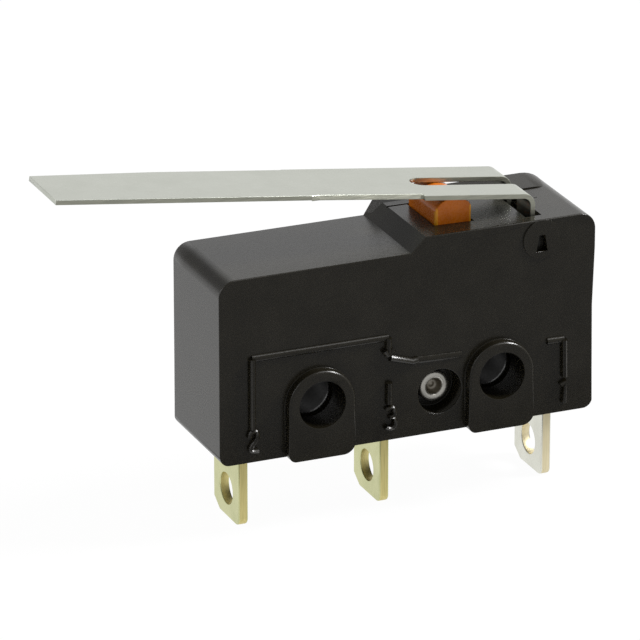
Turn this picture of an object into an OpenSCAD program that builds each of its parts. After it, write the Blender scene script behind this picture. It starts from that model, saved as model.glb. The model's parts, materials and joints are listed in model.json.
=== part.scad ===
// Lever micro switch: a snap-action switch with a long hinged lever over a push button.
// The origin lies midway between the two fixing holes, on their centre line, at half the
// thickness of the housing. +X runs towards the hinge, +Y towards the cover, +Z away from
// the terminals. Heights are given above the underside of the housing.

/* [Housing] */
// Length of the housing
body_l = 19.8; // [19.5:0.1:22]
// Thickness of the housing, without the pads
body_t = 5.9; // [5.8:0.1:7]
// Thickness of the cover
cover_t = 1.3; // [1.1:0.05:1.5]
// Height of the low part of the top
low_h = 9.49; // [9.2:0.01:9.8]
// Rise of the top from its low part to its high part
top_step = 0.75; // [0.65:0.05:1]
// Distance from the far end to the foot of the slope between the two heights
slope_from_end = 10; // [9.4:0.1:10.2]
// Run of that slope
slope_run = 0.75; // [0.5:0.05:1]
// Radius of the upper corners
top_r = 0.85; // [0.4:0.05:1.4]
// Radius of the lower corners
bottom_r = 0.5; // [0.2:0.05:1]
// Relief of the hinge end at its waist
end_relief = 0.1; // [0.05:0.01:0.2]
// Relief of the hinge end at its foot
low_relief = 0.03; // [0:0.01:0.1]

/* [Walls] */
// Front and back walls
face_wall = 0.7; // [0.5:0.05:0.9]
// Walls at the two ends
end_wall = 0.85; // [0.6:0.05:1]
// Floor, which the terminals pass through
floor_t = 1; // [0.8:0.05:1.3]
// Roof over the contacts
roof_t = 0.85; // [0.7:0.05:1]
// Depth of the guide hole that the button slides in
guide_t = 0.92; // [0.8:0.02:1]
// Wall round each fixing hole
boss_wall = 0.7; // [0.5:0.05:0.8]

/* [Fixing holes] */
// Diameter of the fixing holes
hole_d = 2.4; // [2.2:0.05:2.5]
// Distance between the fixing holes
hole_pitch = 9.5; // [9.3:0.05:9.6]
// Height of the fixing holes above the underside
hole_height = 2.61; // [2.4:0.01:2.7]
// Radius of the pads round the fixing holes
pad_r = 1.75; // [1.5:0.05:1.85]
// Height of the pads above the front face
pad_rise = 0.5; // [0.2:0.05:0.8]
// Drop of the pads below the underside
foot_drop = 0.16; // [0.05:0.01:0.3]
// Radius of the pads' lower corners towards the far end
foot_corner = 0.4; // [0.2:0.05:0.6]
// Radius of the pads' lower corners towards the hinge
foot_round = 0.65; // [0.2:0.05:0.8]

/* [Rivet] */
// Place of the rivet, from the middle of the housing
rivet_x = 1.65; // [1.6:0.01:1.7]
// Height of the rivet above the underside
rivet_h = 2.12; // [2.05:0.01:2.3]
// Outer diameter of the rivet's heads
rivet_head_d = 1.5; // [1.4:0.01:1.6]
// Outer diameter of the rivet's tube
rivet_tube_d = 1; // [0.9:0.01:1.1]
// Bore of the rivet
rivet_bore = 0.64; // [0.5:0.01:0.66]
// Diameter of the recesses for its heads
recess_d = 2.3; // [2.1:0.05:2.4]
// Depth of the recess in the case
recess_depth = 1.1; // [0.8:0.05:1.3]
// Depth of the recess in the cover
back_recess = 0.5; // [0.4:0.05:0.6]

/* [Button] */
// Distance from the hinge line to the middle of the button
button_arm = 4.26; // [4.2:0.01:4.4]
// Width of the button along the housing
button_w = 1.95; // [1.7:0.05:2.05]
// Depth of the button across the housing
button_d = 3.3; // [3:0.05:3.5]
// Radius of the button's crown
crown_r = 1.2; // [1.15:0.05:2]
// Spread of the button's flange past each side of its head
flange_spread = 0.42; // [0.3:0.02:0.45]
// Thickness of the flange
flange_t = 0.6; // [0.4:0.05:0.7]

/* [Lever] */
// Width of the lever at its tip
lever_w = 3.63; // [3.4:0.01:3.8]
// How much wider the arm is behind its taper
arm_spread = 0.3; // [0:0.01:0.4]
// Length of that taper
taper_l = 6.4; // [2:0.1:8]
// Width of the lever at its hinge
hinge_w = 4.34; // [4.1:0.01:4.4]
// Reach of the wide hinge part from the hinge line
hinge_reach = 6.45; // [6.2:0.01:7]
// Sideways offset of the middle part of the arm
arm_jog = 0.14; // [0.01:0.01:0.2]
// Reach of that part from the hinge line
jog_reach = 11.75; // [9:0.05:12]
// Thickness of the lever
lever_t = 0.25; // [0.2:0.01:0.3]
// Length of the lever, from its bend to its tip
lever_l = 24.23; // [20:0.01:30]
// Slope of the lever when free, in degrees
lever_rest = 7.18; // [6:0.01:8]
// Swing of the lever from free to fully pressed, in degrees
lever_swing = 9.4; // [6:0.1:10]
// Height of the bend's centre over the hinge line
bend_rise = 1.64; // [1.55:0.01:1.75]
// Inner radius of the lever's bend
lever_bend = 0.4; // [0.15:0.01:0.45]
// Width of the slot in the lever
slot_w = 1.12; // [0.5:0.01:1.2]
// Reach of the slot from the hinge line
slot_reach = 5.83; // [5:0.01:6.4]
// Distance from the hinge end of the housing to the hinge line
hinge_inset = 2.75; // [2.6:0.01:2.8]
// Depth of the hinge line below the top
hinge_drop = 1.15; // [1.1:0.01:1.2]
// Radius of the ledge's nose, which the lever's feet hook round
nose_r = 0.1; // [0.08:0.01:0.12]
// Length of the lever's feet beyond the hinge line
foot_l = 0.5; // [0.3:0.05:0.6]
// Reach of the notch beside the hinge slot, from the hinge line
notch_l = 0.95; // [0.5:0.01:1]
// Depth of that notch
notch_depth = 0.45; // [0.2:0.05:0.5]

/* [Terminals] */
// Width of the terminals
term_w = 3.2; // [2.6:0.05:3.3]
// Thickness of the terminals
term_t = 0.5; // [0.4:0.01:0.5]
// Reach of the terminals below the underside
term_drop = 3.92; // [3.3:0.01:8]
// Radius of the terminals' lower corners in front
term_corner = 0.42; // [0.2:0.01:0.7]
// Width of the cut across their lower corners at the back
term_cut_w = 0.72; // [0.3:0.01:0.9]
// Height of that cut
term_cut_h = 0.47; // [0.2:0.01:0.8]
// Diameter of the wire holes
eyelet_d = 1.6; // [1.2:0.05:1.8]
// Distance of the wire holes below the underside
eyelet_drop = 2.48; // [2:0.01:2.5]
// Distance from the hinge end to the common terminal
common_inset = 1.85; // [1.8:0.01:1.9]
// Distance from the far end to the normally closed terminal
closed_inset = 1.75; // [1.6:0.01:2]
// Place of the normally open terminal, from the middle of the housing
open_x = -0.7; // [-0.9:0.01:-0.6]
// Width of the terminals' inner arms
arm_w = 2.4; // [2:0.05:2.6]

/* [Contacts] */
// Distance from the far end to the contacts
contact_inset = 6.4; // [5.9:0.05:6.7]
// Diameter of the fixed contacts
fixed_d = 1.6; // [1.2:0.05:1.8]
// Thickness of the fixed contacts' heads
fixed_t = 0.35; // [0.25:0.01:0.4]
// Diameter of the moving contact
moving_d = 1.4; // [1:0.05:1.6]
// Thickness of each head of the moving contact
moving_t = 0.38; // [0.3:0.01:0.4]
// Gap between the open contacts
contact_gap = 0.55; // [0.4:0.01:0.6]

/* [Snap blade] */
// Thickness of the blade
blade_t = 0.15; // [0.1:0.01:0.16]
// Width of the blade
blade_w = 2.9; // [2.6:0.05:3]
// Width of each side rail of the blade
rail_w = 0.45; // [0.35:0.01:0.5]
// Width of each spring tongue
tongue_w = 0.68; // [0.4:0.01:0.75]
// Run of the tongues along the blade
tongue_run = 3.95; // [3.6:0.05:4.2]
// Drop of the tongues from their root to their tip
tongue_drop = 1.5; // [1.3:0.05:1.55]

/* [Clearances] */
// Gap between pieces that only fit together
fit = 0.05; // [0.03:0.01:0.06]
// Gap all round the button in its guide
slide_gap = 0.06; // [0.04:0.01:0.08]
// Gap between surfaces that touch in use
touch = 0.02; // [0.01:0.01:0.03]
// Room left round moving pieces
room = 0.15; // [0.12:0.01:0.2]

/* [Hidden] */
$fn = 64;
over = 1; // how far a cut runs past the surface that it opens

// Housing
right = body_l / 2;
left = -right;
front = -body_t / 2;
back = body_t / 2;
joint_y = back - cover_t;
inner_y = body_t / 2 - face_wall;
high_h = low_h + top_step;
slope_x = left + slope_from_end;
relief_low = 5.4;
relief_high = 8.4;
ceiling = low_h - roof_t;
guide_h = high_h - guide_t;

// Rivet
rivet_wall = 0.5;
flange_end_t = 0.2;

// Lever and hinge
hinge_x = right - hinge_inset;
hinge_h = high_h - hinge_drop;
button_x = hinge_x - button_arm;
foot_r = nose_r + fit;
leg_outer = hinge_x - foot_r;
bend_x = leg_outer - lever_t - lever_bend;
bend_h = hinge_h + bend_rise;
lever_rise = (bend_rise - (hinge_x - bend_x) * tan(lever_rest)) * cos(lever_rest) + lever_bend;
leg_side = hinge_w / 2;
tip_x = bend_x - lever_l * cos(lever_rest);
pocket_y = leg_side + room;
pocket_floor = hinge_h - foot_r - lever_t - room;
slot_back = foot_r + lever_t + hinge_drop * sin(lever_swing) + room;
slot_front = 0.12;
hook_room = foot_l + room;
hook_slack = 3;
block_wall = 0.75;
block_h = pocket_floor - block_wall;

// Height of the crown's centre over the hinge line for a lever slope a
function crown_over(a) =
    (lever_rise + (hinge_x - button_x) * sin(a) - crown_r - touch) / cos(a);
crown_h = hinge_h + crown_over(lever_rest);
button_travel = crown_over(lever_rest) - crown_over(lever_rest - lever_swing);

// Button
flange_h = guide_h - room / 2;
well_half = button_w / 2 + flange_spread + 2 * room;
rib_w = 1;

// Contacts, from the roof down
arm_gap = 0.1;
arm_rim = 0.1;
arm_bend = 0.2;
shank_r = 0.43;
moving_shank_r = 0.33;
closed_arm_h = ceiling - arm_gap - term_t;
blade_top = closed_arm_h - fixed_t - touch - moving_t;
blade_h = blade_top - blade_t;
open_face = blade_h - moving_t - contact_gap;
open_arm_h = open_face - fixed_t - term_t;
boss_r = min(hole_d / 2 + boss_wall, open_arm_h - room - hole_height);

// Common terminal
common_x = right - common_inset;
closed_x = left + closed_inset;
contact_x = left + contact_inset;
tag_l = common_x - term_t / 2;
post_in = 0.85;
post_over = 0.25;
post_top = min(blade_top + post_over, block_h - fit);
anchor_h = hole_height + boss_r + 2 * room;
anchor_top = anchor_h + term_t;
anchor_half = post_in - room;

// Blade
neck_half = post_in - 0.25;
tee_l = 0.38;
rail_back = 0.35;
rail_l = 7.05;
plate_rim = 0.2;
blade_pivot_x = common_x + term_t / 2 + fit;
blade_swing = (contact_gap - touch) / (blade_pivot_x - contact_x + moving_d / 2);
rail_end_x = tag_l - rail_back;
window_end = 0.6;
tongue_root_x = rail_end_x - rail_l;
tongue_root = 0.2;
tongue_y = 0.12;
tongue_fall = min(tongue_drop, blade_h - anchor_top - arm_bend - 0.1);
tongue_angle = 2 * atan(tongue_fall / tongue_run);
tongue_r = tongue_run / sin(tongue_angle);
lip_x = tongue_root_x + tongue_run + room;
lip_over = 0.35;
lip_h = blade_h - tongue_fall + lip_over;
rib_foot = blade_top + button_travel - blade_swing * (blade_pivot_x - button_x) + touch;

// Mould mark near the hinge
mark_r = 1;
mark_x = right - 2.9 * mark_r;
mark_h = high_h - mark_r;
mark_rise = 0.08;
pit_w = 0.6;
pit_l = 0.85;
pit_drop = 0.2;
pit_depth = 0.35;

// Stands a profile drawn in X and height up between two places across the housing
module across(y0, y1) {
    translate([0, y1, -hole_height]) rotate([90, 0, 0]) linear_extrude(y1 - y0) children();
}

// Lays a profile drawn in X and Y flat between two heights
module between(h0, h1) {
    translate([0, 0, h0 - hole_height]) linear_extrude(h1 - h0) children();
}

// What a round corner takes off, turned a quarter for each corner from the lower left
module corner_cut(x, h, r, quarter) {
    translate([x, h]) rotate(90 * quarter) difference() {
        translate([-over, -over]) square(r + over);
        translate([r, r]) circle(r);
    }
}

// A quarter of a bend in sheet, between the angles a0 and a1
module bend(x, h, inner, t, a0, a1) {
    reach = 2 * (inner + t);
    translate([x, h]) intersection() {
        difference() {
            circle(inner + t);
            circle(inner);
        }
        polygon([[0, 0], reach * [cos(a0), sin(a0)],
                 reach * [cos((a0 + a1) / 2), sin((a0 + a1) / 2)],
                 reach * [cos(a1), sin(a1)]]);
    }
}

// Outline of the housing
module outline() {
    difference() {
        polygon([[left, 0], [right - low_relief, 0], [right - end_relief, relief_low],
                 [right, relief_high], [right, high_h], [slope_x + slope_run, high_h],
                 [slope_x, low_h], [left, low_h]]);
        corner_cut(left, 0, bottom_r, 0);
        corner_cut(right - low_relief, 0, bottom_r, 1);
        corner_cut(right, high_h, top_r, 2);
        corner_cut(left, low_h, top_r, 3);
    }
}

// Pad round a fixing hole, which runs down past the underside
module pad_outline(x) {
    translate([x, hole_height]) circle(pad_r);
    difference() {
        translate([x - pad_r, -foot_drop]) square([2 * pad_r, hole_height + foot_drop]);
        corner_cut(x - pad_r, -foot_drop, foot_corner, 0);
        corner_cut(x + pad_r, -foot_drop, foot_round, 1);
    }
}

// Round island that stands in the chamber from its floor
module island(x, h, r) {
    translate([x, h]) circle(r);
    translate([x - r, 0]) square([2 * r, h]);
}

// Chamber that holds the contacts and the blade, with the button's well over it
module chamber() {
    wall_l = left + end_wall;
    wall_r = right - end_relief - end_wall;
    well_l = button_x - well_half;
    well_r = button_x + well_half;
    difference() {
        polygon([[wall_l, floor_t], [wall_r, floor_t], [wall_r, block_h], [well_r, block_h],
                 [well_r, guide_h], [well_l, guide_h], [well_l, ceiling],
                 [wall_l, ceiling]]);
        for (side = [-1, 1]) island(side * hole_pitch / 2, hole_height, boss_r);
        island(rivet_x, rivet_h, recess_d / 2 + rivet_wall);
    }
}

// Pocket for the lever's legs, with the ledge that their feet hook round
module hinge_pocket() {
    ledge_end = hinge_h + hook_room * tan(lever_swing + hook_slack);
    difference() {
        polygon([[hinge_x - slot_back, high_h + over], [hinge_x - slot_back, pocket_floor],
                 [hinge_x + hook_room, pocket_floor], [hinge_x + hook_room, ledge_end],
                 [hinge_x, hinge_h], [hinge_x + slot_front, high_h],
                 [hinge_x + slot_front, high_h + over]]);
        translate([hinge_x, hinge_h]) circle(nose_r);
    }
}

// Notch beside the hinge slot, on the case's side of the joint
module hinge_notch() {
    translate([hinge_x, high_h - notch_depth]) square([notch_l, notch_depth + over]);
}

// Everything that is cut out of both halves of the housing
module hollows() {
    slot_t = term_t + 2 * fit;
    across(-inner_y, inner_y) chamber();
    across(-pocket_y, pocket_y) hinge_pocket();
    across(0, joint_y) hinge_notch();
    across(-button_d / 2 - slide_gap, button_d / 2 + slide_gap)
        translate([button_x - button_w / 2 - slide_gap, guide_h - fit])
            square([button_w + 2 * slide_gap, guide_t + over]);
    across(-term_w / 2 - fit, term_w / 2 + fit)
        for (x = [common_x, open_x, closed_x])
            translate([x - slot_t / 2, -over]) square([slot_t, floor_t + over + fit]);
    across(front - pad_rise - over, back + over)
        for (side = [-1, 1]) translate([side * hole_pitch / 2, hole_height]) circle(hole_d / 2);
    across(front - over, back + over)
        translate([rivet_x, rivet_h]) circle(rivet_tube_d / 2 + fit);
}

module case() {
    color("#2b2a26") difference() {
        union() {
            across(front, joint_y) outline();
            across(front - pad_rise, joint_y)
                for (side = [-1, 1]) pad_outline(side * hole_pitch / 2);
            across(front - mark_rise, joint_y) intersection() {
                translate([mark_x, mark_h]) circle(mark_r);
                outline();
            }
        }
        hollows();
        across(front - over, front + recess_depth)
            translate([rivet_x, rivet_h]) circle(recess_d / 2);
        across(front - over, front + pit_depth)
            translate([mark_x, mark_h - pit_drop])
                polygon([[-pit_w / 2, -pit_l / 2], [pit_w / 2, -pit_l / 2],
                         [pit_w / 4, pit_l / 2], [-pit_w / 4, pit_l / 2]]);
    }
}

module cover() {
    color("#34332f") difference() {
        across(joint_y, back) {
            outline();
            for (side = [-1, 1]) pad_outline(side * hole_pitch / 2);
        }
        hollows();
        across(back - back_recess, back + over)
            translate([rivet_x, rivet_h]) circle(recess_d / 2);
    }
}

// Tubular rivet: rolled rim in front, flat flange at the back
module housing_rivet() {
    rim_r = (rivet_head_d - rivet_bore) / 4;
    seat = recess_depth - touch;
    shank = body_t - recess_depth - back_recess + 2 * touch;
    color("#c9ccd0") translate([rivet_x, front + seat, rivet_h - hole_height])
        rotate([-90, 0, 0]) rotate_extrude() {
            translate([rivet_bore / 2 + rim_r, -rim_r]) circle(rim_r);
            translate([rivet_bore / 2, -rim_r])
                square([(rivet_tube_d - rivet_bore) / 2, shank + rim_r + flange_end_t]);
            translate([rivet_bore / 2, shank])
                square([(rivet_head_d - rivet_bore) / 2, flange_end_t]);
        }
}

module push_button() {
    reach = flange_spread;
    color("#d96a10") {
        across(-button_d / 2, button_d / 2) intersection() {
            translate([button_x, crown_h]) circle(crown_r);
            translate([button_x - button_w / 2, crown_h])
                square([button_w, crown_r + over]);
        }
        across(-button_d / 2, button_d / 2)
            translate([button_x - button_w / 2, flange_h - flange_t])
                square([button_w, crown_h - flange_h + flange_t + fit]);
        across(-button_d / 2 - reach / 2, button_d / 2 + reach / 2)
            translate([button_x - button_w / 2 - reach, flange_h - flange_t])
                square([button_w + 2 * reach, flange_t]);
        across(-blade_w / 2, blade_w / 2) {
            translate([button_x, rib_foot + rib_w / 2]) circle(rib_w / 2);
            translate([button_x - rib_w / 2, rib_foot + rib_w / 2])
                square([rib_w, flange_h - flange_t / 2 - rib_foot - rib_w / 2]);
        }
    }
}

// What the strip loses beside its arm, along the near side or the far side
module arm_cut(side) {
    tip = tip_x - over;
    half = lever_w / 2 + (side > 0 ? arm_spread : 0);
    taper = tip_x + taper_l;
    scale([1, side]) polygon([[tip, lever_w / 2], [tip_x, lever_w / 2], [taper, half],
        [hinge_x - jog_reach, half], [hinge_x - jog_reach, half + side * arm_jog],
        [hinge_x - hinge_reach, half + side * arm_jog],
        [hinge_x - hinge_reach, leg_side + over], [tip, leg_side + over]]);
}

// Lever: a flat strip, bent down into two legs with hooked feet
module lever() {
    slot_r = slot_w / 2;
    top = bend_h + lever_l;
    color("#b9b9b4") difference() {
        across(-leg_side, leg_side) {
            translate([bend_x, bend_h]) rotate(-lever_rest)
                translate([-lever_l, lever_bend]) square([lever_l, lever_t]);
            bend(bend_x, bend_h, lever_bend, lever_t, 0, 90 - lever_rest);
            translate([leg_outer - lever_t, hinge_h]) square([lever_t, bend_h - hinge_h]);
            bend(hinge_x, hinge_h, foot_r, lever_t, 180, 270);
            translate([hinge_x, hinge_h - foot_r - lever_t]) square([foot_l, lever_t]);
        }
        between(0, top) for (side = [-1, 1]) arm_cut(side);
        between(0, top) {
            translate([hinge_x - slot_reach + slot_r, 0]) circle(slot_r);
            translate([hinge_x - slot_reach + slot_r, -slot_r])
                square([slot_reach + foot_l + over, slot_w]);
        }
    }
}

// Lower part of a terminal, with its round corners and wire hole, up to a height
module solder_tag(x, top) {
    half = term_w / 2;
    translate([x - term_t / 2, 0, -hole_height]) rotate([90, 0, 90]) linear_extrude(term_t)
        difference() {
            translate([-half, -term_drop]) square([term_w, term_drop + top]);
            corner_cut(-half, -term_drop, term_corner, 0);
            translate([half, -term_drop])
                polygon([[-term_cut_w, -over], [-term_cut_w, 0], [0, term_cut_h],
                         [over, term_cut_h], [over, -over]]);
            translate([0, -eyelet_drop]) circle(eyelet_d / 2);
        }
}

// Common terminal: two posts hold the blade's end, the arm between them its tongues
module common_terminal() {
    tag_top = anchor_h - arm_bend;
    lip_bend_x = lip_x + arm_bend + term_t;
    lip_foot = anchor_top + arm_bend;
    color("#cfcab8") {
        solder_tag(common_x, tag_top);
        for (side = [0, 1]) mirror([0, side, 0]) across(post_in, term_w / 2)
            translate([tag_l, tag_top - fit]) square([term_t, post_top - tag_top + fit]);
        across(-anchor_half, anchor_half) {
            bend(tag_l - arm_bend, tag_top, arm_bend, term_t, 0, 90);
            translate([lip_bend_x, anchor_h])
                square([tag_l - lip_bend_x - arm_bend, term_t]);
            bend(lip_bend_x, lip_foot, arm_bend, term_t, 180, 270);
            translate([lip_x, lip_foot]) square([term_t, lip_h - lip_foot]);
        }
    }
}

// Arm with a hole for a fixed contact, from the bend at the top of a terminal
module contact_arm(x, arm_h, side) {
    reach = side * (contact_x - x) + fixed_d / 2 + arm_rim;
    start = term_t / 2 + arm_bend;
    translate([x, 0, 0]) mirror([side < 0 ? 1 : 0, 0, 0]) {
        across(-arm_w / 2, arm_w / 2)
            bend(start, arm_h - arm_bend, arm_bend, term_t, 90, 180);
        difference() {
            across(-arm_w / 2, arm_w / 2)
                translate([start, arm_h]) square([reach - start, term_t]);
            between(arm_h - over, arm_h + term_t + over)
                translate([side * (contact_x - x), 0]) circle(shank_r + touch);
        }
    }
}

module open_terminal() {
    color("#d8c98a") {
        solder_tag(open_x, open_arm_h - arm_bend);
        contact_arm(open_x, open_arm_h, -1);
    }
}

module closed_terminal() {
    color("#d8c98a") {
        solder_tag(closed_x, closed_arm_h - arm_bend);
        contact_arm(closed_x, closed_arm_h, 1);
    }
}

module open_contact() {
    color("#d5d7d9") translate([contact_x, 0, 0]) {
        between(open_face - fixed_t + touch, open_face) circle(fixed_d / 2);
        between(open_arm_h, open_face - fixed_t + touch) circle(shank_r);
    }
}

module closed_contact() {
    head_h = closed_arm_h - fixed_t;
    color("#d5d7d9") translate([contact_x, 0, 0]) {
        between(head_h, closed_arm_h - touch) circle(fixed_d / 2);
        between(closed_arm_h - touch, closed_arm_h + term_t) circle(shank_r);
    }
}

// Blade: plate, two rails, a T-shaped end behind the posts, and two bowed tongues
module snap_blade() {
    half = blade_w / 2;
    plate_l = contact_x - moving_d / 2 - plate_rim;
    window_r = rail_end_x - window_end;
    arc_h = blade_top - tongue_r;
    color("#c08a4a") {
        between(blade_h, blade_top) difference() {
            union() {
                translate([plate_l, -half]) square([rail_end_x - plate_l, blade_w]);
                translate([rail_end_x - fit, -neck_half])
                    square([blade_pivot_x - rail_end_x + 2 * fit, 2 * neck_half]);
                translate([blade_pivot_x, -half]) square([tee_l, blade_w]);
            }
            translate([tongue_root_x, -half + rail_w])
                square([window_r - tongue_root_x, blade_w - 2 * rail_w]);
            translate([contact_x, 0]) circle(moving_shank_r + touch);
        }
        for (side = [0, 1]) mirror([0, side, 0]) across(tongue_y, tongue_y + tongue_w) {
            bend(tongue_root_x, arc_h, tongue_r - blade_t, blade_t, 90 - tongue_angle, 90);
            translate([tongue_root_x - tongue_root, blade_h]) square([tongue_root, blade_t]);
        }
    }
}

module moving_contact() {
    color("#dcdde0") translate([contact_x, 0, 0]) {
        between(blade_top + touch / 2, blade_top + moving_t) circle(moving_d / 2);
        between(blade_h - moving_t, blade_h - touch / 2) circle(moving_d / 2);
        between(blade_h - moving_t / 2, blade_top + moving_t / 2) circle(moving_shank_r);
    }
}

case();
cover();
housing_rivet();
push_button();
lever();
common_terminal();
open_terminal();
closed_terminal();
open_contact();
closed_contact();
snap_blade();
moving_contact();
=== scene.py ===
import json
import math

import bmesh
import bpy
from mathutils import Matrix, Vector


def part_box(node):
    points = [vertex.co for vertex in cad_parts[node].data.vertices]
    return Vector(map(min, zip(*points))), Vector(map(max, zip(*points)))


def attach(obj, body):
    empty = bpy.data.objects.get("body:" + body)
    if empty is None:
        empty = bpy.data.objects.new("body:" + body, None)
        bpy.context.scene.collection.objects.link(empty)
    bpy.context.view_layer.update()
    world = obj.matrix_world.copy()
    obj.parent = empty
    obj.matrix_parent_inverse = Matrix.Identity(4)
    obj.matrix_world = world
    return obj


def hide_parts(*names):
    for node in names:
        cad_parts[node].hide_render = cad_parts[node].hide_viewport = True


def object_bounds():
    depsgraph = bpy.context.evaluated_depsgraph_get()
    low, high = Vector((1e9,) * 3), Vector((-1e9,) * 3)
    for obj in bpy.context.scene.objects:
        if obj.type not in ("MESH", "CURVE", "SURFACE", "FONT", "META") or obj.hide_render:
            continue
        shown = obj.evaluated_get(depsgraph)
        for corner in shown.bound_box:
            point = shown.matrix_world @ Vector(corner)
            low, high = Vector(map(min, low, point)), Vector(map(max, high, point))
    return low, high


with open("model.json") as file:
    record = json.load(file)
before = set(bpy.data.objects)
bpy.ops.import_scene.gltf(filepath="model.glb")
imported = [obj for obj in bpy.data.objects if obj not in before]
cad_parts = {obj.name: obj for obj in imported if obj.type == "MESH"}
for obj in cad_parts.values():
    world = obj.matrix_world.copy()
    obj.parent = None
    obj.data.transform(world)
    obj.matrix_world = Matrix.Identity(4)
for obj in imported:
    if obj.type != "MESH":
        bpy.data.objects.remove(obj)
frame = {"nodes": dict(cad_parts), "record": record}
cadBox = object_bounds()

mm = 0.001
mergeReach = 0.0005 * mm  # doubles nearer than this are merged
slack = 0.004 * mm  # how far a point may be from a plane and still count as lying in it
hair = 0.01 * mm  # a wider slack, for ends and fronts
noiseSpan = (0.3, 0.7)  # most of a noise texture's values lie between these
housing = {"low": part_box("case")[0], "high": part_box("case")[1]}
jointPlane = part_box("cover")[0][1]
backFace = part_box("cover")[1][1]
frontFace = -backFace  # the origin lies at half the thickness
padFace = housing["low"][1]
topFace = housing["high"][2]
holes = {mount["name"]: mount for mount in frame["record"]["mounts"]}["fixing_holes"]["dims"]
holePlaces = [-holes["spacing_x_mm"] / 2 * mm, holes["spacing_x_mm"] / 2 * mm]
print("frame loaded")


def newMaterial(name, colour, roughness, metallic=0.0, specular=0.5):
    material = bpy.data.materials.new(name)
    material.use_nodes = True
    tree = material.node_tree
    shader = tree.nodes["Principled BSDF"]
    shader.inputs["Base Color"].default_value = (*colour, 1)
    shader.inputs["Roughness"].default_value = roughness
    shader.inputs["Metallic"].default_value = metallic
    shader.inputs["Specular IOR Level"].default_value = specular
    return material, tree, shader


def placed(tree, stretch=(1, 1, 1)):
    where = tree.nodes.new("ShaderNodeTexCoord")
    mapping = tree.nodes.new("ShaderNodeMapping")
    mapping.inputs["Scale"].default_value = stretch
    tree.links.new(where.outputs["Object"], mapping.inputs["Vector"])
    return mapping.outputs["Vector"]


def noise(tree, vector, grain, detail=3.0, rough=0.55):
    texture = tree.nodes.new("ShaderNodeTexNoise")
    texture.inputs["Scale"].default_value = 1 / grain
    texture.inputs["Detail"].default_value = detail
    texture.inputs["Roughness"].default_value = rough
    tree.links.new(vector, texture.inputs["Vector"])
    return texture.outputs["Fac"]


def spread(tree, value, low, high, fromLow=noiseSpan[0], fromHigh=noiseSpan[1]):
    ranger = tree.nodes.new("ShaderNodeMapRange")
    ranger.inputs["From Min"].default_value = fromLow
    ranger.inputs["From Max"].default_value = fromHigh
    ranger.inputs["To Min"].default_value = low
    ranger.inputs["To Max"].default_value = high
    tree.links.new(value, ranger.inputs["Value"])
    return ranger.outputs["Result"]


def tint(tree, value, dark, light):
    ramp = tree.nodes.new("ShaderNodeValToRGB")
    for point, colour, place in zip(ramp.color_ramp.elements, (dark, light), noiseSpan):
        point.color = (*colour, 1)
        point.position = place
    tree.links.new(value, ramp.inputs["Fac"])
    return ramp.outputs["Color"]


def bump(tree, shader, value, depth, strength):
    node = tree.nodes.new("ShaderNodeBump")
    node.inputs["Distance"].default_value = depth
    node.inputs["Strength"].default_value = strength
    tree.links.new(value, node.inputs["Height"])
    tree.links.new(node.outputs["Normal"], shader.inputs["Normal"])


def plastic(name, look):
    material, tree, shader = newMaterial(
        name, look["dark"], look["smooth"], specular=look["specular"]
    )
    where = placed(tree)
    cloud = noise(tree, where, look["cloud"] * mm)
    grain = noise(tree, where, look["grain"] * mm, 2.0)
    tree.links.new(tint(tree, cloud, look["dark"], look["light"]), shader.inputs["Base Color"])
    tree.links.new(
        spread(tree, grain, look["smooth"], look["rough"]), shader.inputs["Roughness"]
    )
    bump(tree, shader, grain, look["relief"] * mm, look["strength"])
    return material


rolling = {"line": 0.06, "detail": 4.0, "rough": 0.6, "cloud": 1.4, "relief": 0.0015,
           "strength": 0.5}


def rolledMetal(name, dark, light, smooth, rough, stretch=(0.05, 1, 1), streaky=False):
    material, tree, shader = newMaterial(name, dark, smooth, metallic=1.0)
    lines = noise(
        tree, placed(tree, stretch), rolling["line"] * mm, rolling["detail"], rolling["rough"]
    )
    shade = lines if streaky else noise(tree, placed(tree), rolling["cloud"] * mm)
    tree.links.new(tint(tree, shade, dark, light), shader.inputs["Base Color"])
    tree.links.new(spread(tree, lines, smooth, rough), shader.inputs["Roughness"])
    bump(tree, shader, lines, rolling["relief"] * mm, rolling["strength"])
    return material


# Noise sizes and relief are in mm; the bores and the button's corners differ in a few values: the
# bores' duller plastic is painted shade, and the corners' brighter orange is a painted highlight
black = {"dark": (0.0058, 0.0047, 0.0022), "light": (0.0088, 0.0074, 0.0042),
         "specular": 0.35, "smooth": 0.2, "rough": 0.32, "cloud": 1.6, "grain": 0.09,
         "relief": 0.006, "strength": 0.6}
orange = {"dark": (0.4, 0.095, 0.003), "light": (0.52, 0.135, 0.006),
          "specular": 0.25, "smooth": 0.22, "rough": 0.34, "cloud": 0.8, "grain": 0.08,
          "relief": 0.004, "strength": 0.5}
housingLook = plastic("mouldedPlastic", black)
# The duller, less reflective bore plastic is painted shade deep in the fixing holes
boreShadeLook = plastic("borePaintedShadePlastic", {**black, "specular": 0.09, "smooth": 0.42, "rough": 0.55})
buttonLook = plastic("buttonPlastic", orange)
# The brighter orange copy is a painted highlight for the button's upright corners
buttonPaintedHighlight = plastic("buttonPaintedHighlightPlastic", {**orange, "dark": (0.52, 0.21, 0.008),
                                           "light": (0.62, 0.26, 0.012)})

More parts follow.
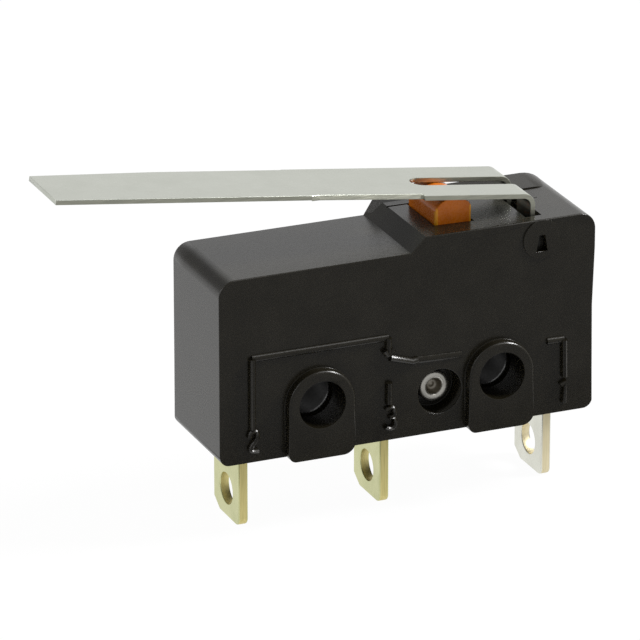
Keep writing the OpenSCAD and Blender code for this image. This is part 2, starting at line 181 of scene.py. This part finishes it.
# Each metal: dark and light tone, lowest and highest roughness, how its lines are stretched
allWays, upright, sheared = (1, 1, 1), (1, 1, 0.05), (1, 1, 0.04)
leverLook = rolledMetal("leverSteel", (0.465, 0.48, 0.425), (0.495, 0.51, 0.455), 0.26, 0.38)
leverEdge = rolledMetal("shearedSteel", (0.42, 0.43, 0.36), (0.58, 0.58, 0.48), 0.28, 0.4,
                        streaky=True)
goldLook = rolledMetal("paleGoldPlate", (0.5, 0.51, 0.26), (0.6, 0.6, 0.33), 0.22, 0.36,
                       upright)
brassEdge = rolledMetal("shearedBrass", (0.52, 0.46, 0.19), (0.75, 0.66, 0.31), 0.45, 0.6,
                        sheared, streaky=True)
tinLook = rolledMetal("tinPlate", (0.64, 0.64, 0.56), (0.73, 0.73, 0.65), 0.22, 0.36, upright)
tinEdge = rolledMetal("shearedTin", (0.67, 0.6, 0.39), (0.79, 0.71, 0.5), 0.45, 0.6,
                      sheared, streaky=True)
rivetLook = rolledMetal("rivetPlate", (0.64, 0.62, 0.57), (0.74, 0.72, 0.66), 0.24, 0.36,
                        allWays)
# The darker rivet cup colour is painted shade in the head's dished centre
cupPaintedShade = rolledMetal("rivetCupPaintedShade", (0.24, 0.22, 0.18), (0.42, 0.39, 0.34), 0.3, 0.45, allWays)
silverLook = rolledMetal("contactSilver", (0.82, 0.81, 0.79), (0.9, 0.89, 0.87), 0.15, 0.28,
                         allWays)
copperLook = rolledMetal("bladeCopper", (0.66, 0.36, 0.2), (0.76, 0.45, 0.27), 0.2, 0.34)
print("materials made")

bodyOf = {node: body for body, nodes in frame["record"]["behaviour"]["bodies"].items()
          for node in nodes}
slotOf = {part["node"]: part["material_slot"] for part in frame["record"]["subparts"]}
looks = {"housing": housingLook, "button": buttonLook, "lever": leverLook, "rivet": rivetLook,
         "common_tag": tinLook, "tags": goldLook, "contacts": silverLook, "blade": copperLook}


def shown(mesh, name, body, look, replaced=None, edgeAndPaintedLightLook=None):
    data = bpy.data.meshes.new(name)
    mesh.to_mesh(data)
    mesh.free()
    piece = bpy.data.objects.new(name, data)
    bpy.context.scene.collection.objects.link(piece)
    data.materials.append(look)
    if edgeAndPaintedLightLook:
        data.materials.append(edgeAndPaintedLightLook)
    modifier = piece.modifiers.new("evenNormals", "WEIGHTED_NORMAL")
    modifier.keep_sharp = True
    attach(piece, body)
    if replaced:
        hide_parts(replaced)
    return piece


def solidCopy(node):
    mesh = bmesh.new()
    mesh.from_mesh(frame["nodes"][node].data)
    bmesh.ops.remove_doubles(mesh, verts=mesh.verts, dist=mergeReach)
    bmesh.ops.dissolve_limit(
        mesh, angle_limit=math.radians(0.5), verts=mesh.verts, edges=mesh.edges
    )
    return mesh


def creased(mesh, degrees=35):
    limit = math.radians(degrees)
    return [edge for edge in mesh.edges
            if len(edge.link_faces) == 2 and edge.calc_face_angle() > limit]


def lies(edge, axis, place):
    return all(abs(vert.co[axis] - place) < slack for vert in edge.verts)


def eased(mesh, edges, width, segments=2):
    if edges:
        bmesh.ops.bevel(
            mesh, geom=edges, offset=width, offset_type="OFFSET", affect="EDGES",
            segments=segments, profile=0.5, material=-1, clamp_overlap=False,
        )


def smoothed(mesh, degrees=40):
    for face in mesh.faces:
        face.smooth = True
    for edge in mesh.edges:
        edge.smooth = not (
            len(edge.link_faces) == 2 and edge.calc_face_angle() > math.radians(degrees)
        )


# The seam is a groove only on the high part of the top; low edges and the mark stay crisp
shell = {"rim": 0.16, "outer": 0.07, "groove": 0.08, "small": 0.05, "fine": 0.02,
         "rimFrom": 1.5, "outerFrom": 1.9, "lowest": -2, "joint": 0.1,
         "mark": (7.0, 6.63), "markReach": 1.06}


def distance(edge, x, z):
    middle = (edge.verts[0].co + edge.verts[1].co) / 2
    return math.hypot(middle.x - x, middle.z - z)


def fromHole(edge):
    return min(distance(edge, place, 0) for place in holePlaces)


def nearMark(edge):
    return distance(edge, *(place * mm for place in shell["mark"])) < shell["markReach"] * mm


def isHigh(edge):
    return max(vert.co.z for vert in edge.verts) > shell["lowest"] * mm


def atJoint(edge):
    return any(abs(vert.co.y - jointPlane) < shell["joint"] * mm for vert in edge.verts)


for node in ("case", "cover"):
    mesh = solidCopy(node)
    seam = [edge for edge in creased(mesh)
            if lies(edge, 1, jointPlane) and lies(edge, 2, topFace)]
    eased(mesh, seam, shell["groove"] * mm, 1)
    rim = [edge for edge in creased(mesh)
           if lies(edge, 1, padFace) and fromHole(edge) > shell["rimFrom"] * mm
           and isHigh(edge)]
    eased(mesh, rim, shell["rim"] * mm, 4)
    fine = [edge for edge in creased(mesh, 50)
            if nearMark(edge) and max(vert.co.y for vert in edge.verts) < frontFace + hair]
    eased(mesh, fine, shell["fine"] * mm, 2)
    outer = [edge for edge in creased(mesh, 50)
             if (lies(edge, 1, backFace) or lies(edge, 1, frontFace))
             and fromHole(edge) > shell["outerFrom"] * mm
             and isHigh(edge) and not nearMark(edge)]
    eased(mesh, outer, shell["outer"] * mm, 3)
    rest = [edge for edge in creased(mesh, 50)
            if not atJoint(edge) and not nearMark(edge) and isHigh(edge)]
    eased(mesh, rest, shell["small"] * mm, 2)
    smoothed(mesh)
    shown(mesh, node + "Finished", bodyOf[node], housingLook, node)

# The back of the high top rises a little towards the back face, with a step behind the legs
crown = {"foot": 6.75, "rise": 0.22, "edge": 0.03, "corner": 1.35, "inset": 0.005,
         "strip": {"front": 2.2, "back": [0.06, 0.76], "ahead": [0.12, 0.86], "end": 7.3,
                   "step": -0.006},
         "land": {"front": 1.25, "back": [7.3, 7.3], "ahead": [7.3, 7.3], "end": 9.897,
                  "step": 0.06}}


def wedge(name, part):
    mesh = bmesh.new()
    peak, foot = topFace + crown["rise"] * mm, crown["foot"] * mm
    start, top = (x * mm for x in part["back"])
    end = part["end"] * mm
    corners = [mesh.verts.new((x, backFace - crown["inset"] * mm, z))
               for x, z in ((start, foot), (end, foot), (end, peak), (top, peak))]
    mesh.faces.new(corners)
    grown = bmesh.ops.extrude_face_region(mesh, geom=mesh.faces[:])
    for vert in (item for item in grown["geom"] if isinstance(item, bmesh.types.BMVert)):
        upper = vert.co.z > topFace
        if vert.co.x < end - hair:
            vert.co.x = part["ahead"][1 if upper else 0] * mm
        vert.co.y = part["front"] * mm
        vert.co.z = topFace + part["step"] * mm if upper else foot
    bmesh.ops.recalc_face_normals(mesh, faces=mesh.faces)
    corner = [edge for edge in creased(mesh)
              if lies(edge, 0, crown["land"]["end"] * mm)
              and min(vert.co.z for vert in edge.verts) > topFace]
    eased(mesh, corner, crown["corner"] * mm, 8)
    front = [edge for edge in creased(mesh, 30)
             if lies(edge, 1, part["front"] * mm) and part["step"] > 0]
    eased(mesh, front, crown["edge"] * mm, 2)
    smoothed(mesh, 25)
    shown(mesh, name, "housing", housingLook)


wedge("coverStrip", crown["strip"])
wedge("coverLand", crown["land"])

# Fills the case's notch beside the hinge slot, flush with the top
notch = {"low": (7.275, 0.005, -0.44), "high": (8.095, 1.645, 0)}
mesh = bmesh.new()
bmesh.ops.create_cube(mesh, size=1)
size = [(top - bottom) * mm for bottom, top in zip(notch["low"], notch["high"])]
middle = [(top + bottom) / 2 * mm for bottom, top in zip(notch["low"], notch["high"])]
bmesh.ops.scale(mesh, verts=mesh.verts, vec=size)
bmesh.ops.translate(mesh, verts=mesh.verts, vec=(middle[0], middle[1], middle[2] + topFace))
smoothed(mesh)
shown(mesh, "notchFill", "housing", housingLook)
print("housing finished")

easing = {"push_button": 0.15, "lever": 0.03, "common_terminal": 0.06, "open_terminal": 0.06,
          "closed_terminal": 0.06, "open_contact": 0.08, "closed_contact": 0.08,
          "moving_contact": 0.08, "snap_blade": 0.02}
# The tags' and lever's sheared edges are their own finish; the button's entry is a painted
# highlight
edgeAndHighlightLooks = {"common_tag": tinEdge, "tags": brassEdge, "lever": leverEdge, "button": buttonPaintedHighlight}
# The near arm's lower edge runs on straight, and its root lies nearer the hinge
arm = {"start": -4.6, "startShift": 0.4, "root": 0.7, "rootShift": 0.45, "slope": -0.126,
       "middle": 9.36, "near": 0.01,
       "side": -1.675, "low": (-1.83, -1.94), "high": (-1.73, -1.82)}


def coinArm(mesh):
    for vert in mesh.verts:
        along, across, up = (value / mm for value in vert.co)
        atRoot = abs(along - arm["root"]) < arm["near"]
        if atRoot or abs(along - arm["start"]) < arm["near"]:
            level = up - arm["slope"] * (along - arm["root"])
            upper = level > arm["middle"]
            onSide = abs(across - arm["side"]) < arm["near"]
            if onSide:
                vert.co.y = arm["high" if upper else "low"][1 if atRoot else 0] * mm
            if across < 0 and (atRoot or onSide):
                shift = arm["rootShift"] if atRoot else arm["startShift"]
                vert.co.x += shift * mm
                vert.co.z += shift * arm["slope"] * mm


# Which faces are sheared edges, and which button corners take the painted highlight, told by how
# far their normals turn
turns = {"square": 0.9, "slanted": 0.3, "level": 0.2}


def edgeOrHighlightFace(slotName, face):
    normal = face.normal
    if slotName == "lever":
        return abs(normal.y) > turns["square"]
    # The button's slanted upright corner faces take the painted highlight
    if slotName == "button":
        return (abs(normal.x) > turns["slanted"] and normal.y < -turns["slanted"]
                and abs(normal.z) < turns["level"])
    return abs(normal.x) < turns["slanted"]


for node, width in easing.items():
    mesh = solidCopy(node)
    if node == "lever":
        coinArm(mesh)
    eased(mesh, creased(mesh), width * mm)
    smoothed(mesh)
    edgeAndPaintedLightLook = edgeAndHighlightLooks.get(slotOf[node])
    if edgeAndPaintedLightLook:
        for face in mesh.faces:
            if edgeOrHighlightFace(slotOf[node], face):
                face.material_index = 1
    shown(mesh, node + "Finished", bodyOf[node], looks[slotOf[node]], node,
          edgeAndPaintedLightLook)
print("metal and button finished")


def turned(profile, centre, steps=64):
    mesh = bmesh.new()
    ring = [mesh.verts.new((centre[0] + radius * mm, place, centre[1]))
            for radius, place in profile]
    edges = [mesh.edges.new(pair) for pair in zip(ring, ring[1:])]
    bmesh.ops.spin(
        mesh, geom=ring + edges, cent=(centre[0], 0, centre[1]), axis=(0, 1, 0),
        angle=2 * math.pi, steps=steps, use_merge=True,
    )
    bmesh.ops.remove_doubles(mesh, verts=mesh.verts, dist=mergeReach)
    bmesh.ops.recalc_face_normals(mesh, faces=mesh.faces)
    smoothed(mesh, 50)
    return mesh


# The rivet's rolled head has a broad flat rim round a dished centre, and the dish is painted
# darker as painted shade
rivet = {"cup": 0.4,
         "head": [(0, 0.36), (0.07, 0.375), (0.14, 0.43), (0.22, 0.43), (0.3, 0.36),
                  (0.36, 0.2), (0.4, 0.09), (0.45, 0.02), (0.53, 0), (0.64, 0.005),
                  (0.72, 0.03), (0.78, 0.09), (0.8, 0.18), (0.78, 0.28), (0.7, 0.36),
                  (0.6, 0.41), (0.5, 0.43)],
         "tail": [(0.5, 0.2), (0.72, 0.2), (0.75, 0.17), (0.75, 0.04), (0.72, 0), (0.4, 0),
                  (0.34, 0.03), (0.32, 0.1), (0.32, 1.4), (0.2, 1.5), (0, 1.52)]}
low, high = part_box("housing_rivet")
rivetCentre = ((low[0] + high[0]) / 2, (low[2] + high[2]) / 2)
profile = [(radius, low[1] + depth * mm) for radius, depth in rivet["head"]]
profile += [(radius, high[1] - depth * mm) for radius, depth in rivet["tail"]]
mesh = turned(profile, rivetCentre)
# Faces inside the dished centre take the darker painted shade
for face in mesh.faces:
    middle = face.calc_center_median()
    if math.hypot(middle.x - rivetCentre[0], middle.z - rivetCentre[1]) < rivet["cup"] * mm:
        face.material_index = 1
shown(mesh, "rivetFinished", bodyOf["housing_rivet"], rivetLook,
      "housing_rivet", cupPaintedShade)

# A low parting ridge and the core's draft inside each fixing hole, as depth and height
lip = {"outline": [(1.1, -0.05), (1.1, 0), (1.26, 0.035), (1.38, 0.07), (1.5, 0.07),
                   (1.6, 0.045), (1.68, 0.008), (3.1, 0.07), (4.4, 0.002), (4.4, -0.05)],
       "paintedShadeFrom": 1.67}
for side, place in zip(("far", "hinge"), holePlaces):
    profile = [(holes["hole_r_mm"] - height, frontFace + depth * mm)
               for depth, height in lip["outline"]]
    profile.append(profile[0])
    mesh = turned(profile, (place, 0))
    # Faces deeper than this take the less reflective plastic as painted shade
    for face in mesh.faces:
        if face.calc_center_median().y > frontFace + lip["paintedShadeFrom"] * mm:
            face.material_index = 1
    shown(mesh, side + "HoleLip", "housing", housingLook, None, boreShadeLook)
print("rivet and hole lips turned")


def ridge(name, points, width, rise, curved=False):
    curve = bpy.data.curves.new(name + "Line", "CURVE")
    curve.dimensions = "3D"
    curve.bevel_depth = width / 2 * mm
    curve.bevel_resolution = 3
    curve.use_fill_caps = True
    curve.resolution_u = 6
    spline = curve.splines.new("NURBS" if curved else "POLY")
    spline.points.add(len(points) - 1)
    for point, (x, z) in zip(spline.points, points):
        point.co = (x * mm, 0, z * mm, 1)
    if curved:
        spline.order_u = 3
        spline.use_endpoint_u = True
    line = bpy.data.objects.new(name + "Line", curve)
    bpy.context.scene.collection.objects.link(line)
    bpy.context.view_layer.update()
    mesh = bmesh.new()
    mesh.from_mesh(line.evaluated_get(bpy.context.evaluated_depsgraph_get()).to_mesh())
    bpy.data.objects.remove(line)
    bpy.data.curves.remove(curve)
    bmesh.ops.remove_doubles(mesh, verts=mesh.verts, dist=mergeReach)
    bmesh.ops.scale(mesh, verts=mesh.verts, vec=(1, 2 * rise / width, 1))
    bmesh.ops.translate(mesh, verts=mesh.verts, vec=(0, frontFace, 0))
    bmesh.ops.recalc_face_normals(mesh, faces=mesh.faces)
    smoothed(mesh, 50)
    shown(mesh, name, "housing", housingLook)


# Raised circuit marks and terminal numbers: height, then points along and up from the origin
marks = {
    "width": 0.36,
    "curveWidth": 0.27,
    "lines": {
        "openLine": (0.3, [(-8.24, -0.84), (-8.24, 2.76)]),
        "openTop": (0.15, [(-8.24, 2.76), (-1.12, 2.75)]),
        "openEnd": (0.3, [(-1.12, 2.75), (-1.14, 1.9)]),
        "arrowLeft": (0.3, [(-1.14, 1.88), (-1.34, 2.16)]),
        "arrowRight": (0.3, [(-1.14, 1.88), (-0.88, 2.2)]),
        "contactLine": (0.26, [(-1.03, 1.7), (0.14, 1.33), (0.42, 1.38)]),
        "bladeLine": (0.1, [(0.4, 1.35), (2.79, 1.27)]),
        "closedLine": (0.3, [(-1.08, 0.44), (-1.09, -0.66)]),
        "commonTop": (0.15, [(7.36, 1.24), (8.26, 1.22)]),
        "commonLine": (0.3, [(8.26, 1.22), (8.3, -0.7)]),
        "one": (0.3, [(8.1, -1.16), (8.3, -1.0), (8.3, -2.06)]),
    },
    "curves": {
        "two": (0.28, [(-8.42, -1.25), (-8.36, -0.95), (-8.0, -0.93), (-7.98, -1.35),
                       (-8.3, -1.7), (-8.42, -2.0), (-7.96, -2.0)]),
        "three": (0.28, [(-1.26, -1.0), (-1.1, -0.86), (-0.82, -0.88), (-0.78, -1.3),
                         (-1.08, -1.38), (-0.76, -1.46), (-0.78, -1.92), (-1.1, -1.98),
                         (-1.28, -1.84)]),
    },
}
for name, (rise, points) in marks["lines"].items():
    ridge(name, points, marks["width"], rise)
for name, (rise, points) in marks["curves"].items():
    ridge(name, points, marks["curveWidth"], rise, True)
print("raised marks made")


def areaLamp(name, look):
    lamp = bpy.data.lights.new(name, "AREA")
    lamp.shape = "SQUARE"
    lamp.size = look["size"]
    lamp.energy = look["power"]
    thing = bpy.data.objects.new(name, lamp)
    thing.location = look["place"]
    thing.rotation_euler = (-Vector(look["place"])).to_track_quat("-Z", "Y").to_euler()
    bpy.context.scene.collection.objects.link(thing)


def either(tree, first, second):
    node = tree.nodes.new("ShaderNodeMath")
    node.operation = "MAXIMUM"
    tree.links.new(first, node.inputs[0])
    tree.links.new(second, node.inputs[1])
    return node.outputs[0]


def mixed(tree, share, first, second):
    mix = tree.nodes.new("ShaderNodeMixShader")
    tree.links.new(share, mix.inputs["Fac"])
    tree.links.new(first, mix.inputs[1])
    tree.links.new(second, mix.inputs[2])
    return mix.outputs[0]


def bySight(tree, plain, reflected, seen):
    path = tree.nodes.new("ShaderNodeLightPath")
    mirror = either(tree, path.outputs["Is Glossy Ray"], path.outputs["Is Transmission Ray"])
    return mixed(tree, path.outputs["Is Camera Ray"], mixed(tree, mirror, plain, reflected), seen)


def graded(tree, value, stops):
    low, high = stops[0][0], stops[-1][0]
    share = spread(tree, value, 0, 1, low, high)
    ramp = tree.nodes.new("ShaderNodeValToRGB")
    points = ramp.color_ramp.elements  # it starts with one at 0 and one at 1
    for place, bright in stops:
        at = (place - low) / (high - low)
        point = points[0] if place == low else points[-1] if place == high else points.new(at)
        point.color = (bright, bright, bright, 1)
    tree.links.new(share, ramp.inputs["Fac"])
    return ramp.outputs["Color"]


# Reflections see a white room behind the part that dims towards its front and left corner
room = {"soft": 0.45, "depth": [(-1, 0.46), (-0.45, 0.46), (-0.05, 0.8), (0.25, 1.0)],
        "shade": (-0.37, 0.855, 0.365), "shadeLevel": 0.4, "shadeFrom": 0.86, "shadeTo": 0.97,
        "panel": (0.365, -0.366, 0.856), "panelLevel": 4.0, "panelFrom": 0.975, "panelTo": 0.99}


def makeWorld():
    world = bpy.data.worlds.new("studio")
    bpy.context.scene.world = world
    world.use_nodes = True
    tree = world.node_tree
    tree.nodes.clear()
    shades = []
    for strength in (room["soft"], 1.0, 1.0):
        shade = tree.nodes.new("ShaderNodeBackground")
        shade.inputs["Color"].default_value = (1, 1, 1, 1)
        shade.inputs["Strength"].default_value = strength
        shades.append(shade)
    where = tree.nodes.new("ShaderNodeTexCoord")
    parts = tree.nodes.new("ShaderNodeSeparateXYZ")
    tree.links.new(where.outputs["Generated"], parts.inputs[0])
    corner = tree.nodes.new("ShaderNodeVectorMath")
    corner.operation = "DOT_PRODUCT"
    corner.inputs[1].default_value = room["shade"]
    tree.links.new(where.outputs["Generated"], corner.inputs[0])
    dimmed = tree.nodes.new("ShaderNodeMath")
    dimmed.operation = "MULTIPLY"
    tree.links.new(graded(tree, parts.outputs["Y"], room["depth"]), dimmed.inputs[0])
    tree.links.new(spread(tree, corner.outputs["Value"], 1.0, room["shadeLevel"],
                          room["shadeFrom"], room["shadeTo"]), dimmed.inputs[1])
    panel = tree.nodes.new("ShaderNodeVectorMath")
    panel.operation = "DOT_PRODUCT"
    panel.inputs[1].default_value = room["panel"]
    tree.links.new(where.outputs["Generated"], panel.inputs[0])
    level = spread(tree, panel.outputs["Value"], 0.0, room["panelLevel"],
                   room["panelFrom"], room["panelTo"])
    tree.links.new(either(tree, dimmed.outputs[0], level), shades[1].inputs["Strength"])
    output = tree.nodes.new("ShaderNodeOutputWorld")
    tree.links.new(bySight(tree, *(shade.outputs[0] for shade in shades)),
                   output.inputs["Surface"])


def makeFloor():
    look = {"size": 1.2, "albedo": 0.8, "whiteShare": 0.97,
            "depth": [(-0.03, 0.46), (-0.015, 0.46), (-0.0125, 0.18), (-0.0095, 0.18),
                      (-0.0065, 1.0), (0, 1.0)]}
    mesh = bmesh.new()
    bmesh.ops.create_grid(mesh, x_segments=2, y_segments=2, size=look["size"] / 2)
    bmesh.ops.translate(mesh, verts=mesh.verts, vec=(0, 0, cadBox[0][2]))
    data = bpy.data.meshes.new("floor")
    mesh.to_mesh(data)
    mesh.free()
    floor = bpy.data.objects.new("floor", data)
    bpy.context.scene.collection.objects.link(floor)
    material = bpy.data.materials.new("paleFloor")
    material.use_nodes = True
    tree = material.node_tree
    tree.nodes.clear()
    paper = tree.nodes.new("ShaderNodeBsdfDiffuse")
    paper.inputs["Color"].default_value = (look["albedo"],) * 3 + (1,)
    glow = tree.nodes.new("ShaderNodeEmission")
    glow.inputs["Strength"].default_value = 1.0
    partly = tree.nodes.new("ShaderNodeMixShader")
    partly.inputs["Fac"].default_value = look["whiteShare"]
    tree.links.new(paper.outputs[0], partly.inputs[1])
    tree.links.new(glow.outputs[0], partly.inputs[2])
    reflected = tree.nodes.new("ShaderNodeEmission")
    where = tree.nodes.new("ShaderNodeTexCoord")
    parts = tree.nodes.new("ShaderNodeSeparateXYZ")
    tree.links.new(where.outputs["Object"], parts.inputs[0])
    tree.links.new(graded(tree, parts.outputs["Y"], look["depth"]), reflected.inputs["Strength"])
    output = tree.nodes.new("ShaderNodeOutputMaterial")
    tree.links.new(bySight(tree, paper.outputs[0], reflected.outputs[0], partly.outputs[0]),
                   output.inputs["Surface"])
    data.materials.append(material)


def makeCamera():
    view = {"azimuth": -23.06, "elevation": 21.46, "distance": 274.6 * mm, "lens": 318.1,
            "target": (-3.324 * mm, 0.25 * mm, 2.84 * mm)}
    turn, rise = math.radians(view["azimuth"]), math.radians(view["elevation"])
    back = Vector((math.sin(turn) * math.cos(rise), -math.cos(turn) * math.cos(rise),
                   math.sin(rise)))
    lens = bpy.data.cameras.new("camera")
    lens.lens = view["lens"]
    lens.sensor_width = 36
    lens.clip_start = 10 * mm
    lens.clip_end = 10
    camera = bpy.data.objects.new("camera", lens)
    camera.location = Vector(view["target"]) + back * view["distance"]
    camera.rotation_euler = (math.pi / 2 - rise, 0, turn)
    bpy.context.scene.collection.objects.link(camera)
    bpy.context.scene.camera = camera


makeWorld()
makeFloor()
lamps = {"keyLamp": {"place": (0.33, -0.092, 0.295), "size": 0.11, "power": 3.4},
         "fillLamp": {"place": (-0.32, 0.1, 0.2), "size": 0.25, "power": 0.8}}
for name, look in lamps.items():
    areaLamp(name, look)
makeCamera()
bpy.context.scene.view_settings.view_transform = "Standard"
print("light and camera set")
